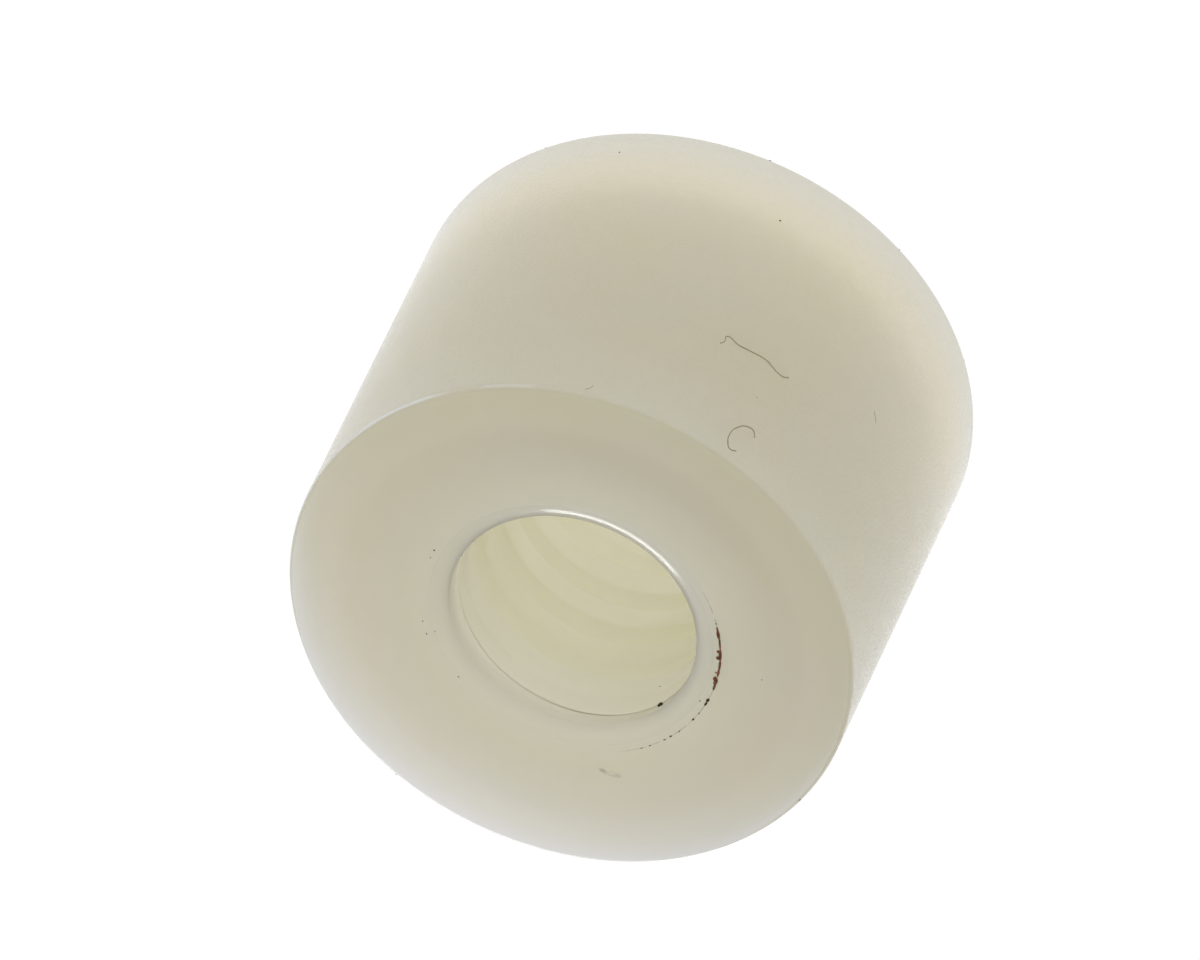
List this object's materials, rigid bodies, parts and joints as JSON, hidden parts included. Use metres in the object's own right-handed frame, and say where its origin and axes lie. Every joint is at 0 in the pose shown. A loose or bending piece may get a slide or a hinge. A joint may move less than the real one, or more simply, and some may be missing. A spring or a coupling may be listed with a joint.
{
  "type": "threaded bushing",
  "caption": "Short round plastic bushing with flat ends and a tapped through bore, countersunk at both mouths, used as a threaded spacer.",
  "frame": {"origin": "centre of the lower end face, on the bore axis", "axes": "+Z along the bore axis, from the lower end face to the upper one; X and Y are free, because the body is a solid of revolution"},
  "size_m": [0.0126, 0.0126, 0.0095],
  "materials": {
    "nylon": "natural, translucent off-white, matte turned wall and smooth faced ends"
  },
  "bodies": {
    "root": {"bushing": "nylon"}
  },
  "joints": []
}
